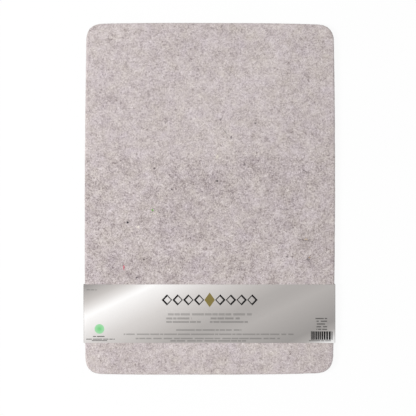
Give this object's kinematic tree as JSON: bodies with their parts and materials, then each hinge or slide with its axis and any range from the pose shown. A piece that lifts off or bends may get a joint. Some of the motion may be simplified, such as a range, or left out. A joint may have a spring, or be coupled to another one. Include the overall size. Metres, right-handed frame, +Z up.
{
  "type": "wool pressing mat",
  "caption": "Flat rounded slab of wool felt for ironing on, wrapped in a slide-off printed card sleeve that closes in a taped lap underneath.",
  "frame": {"origin": "under the centre of the mat, on the surface that the sleeve's underside rests on", "axes": "+Z up out of the ironing face, +Y along the mat's length towards the end further from the sleeve, +X across its width"},
  "size_m": [0.4262, 0.594, 0.0138],
  "materials": {
    "wool_felt": "matte",
    "foil_card": "satin",
    "tape_film": "satin"
  },
  "bodies": {
    "mat": {"felt_mat": "wool_felt"},
    "band": {"sleeve": "foil_card", "lap_tape": "tape_film"}
  },
  "joints": [
    {"name": "sleeve_slide", "type": "slide", "parent": "mat", "child": "band", "axis": [0, 1, 0], "range_m": [-0.165, 0.555]}
  ]
}
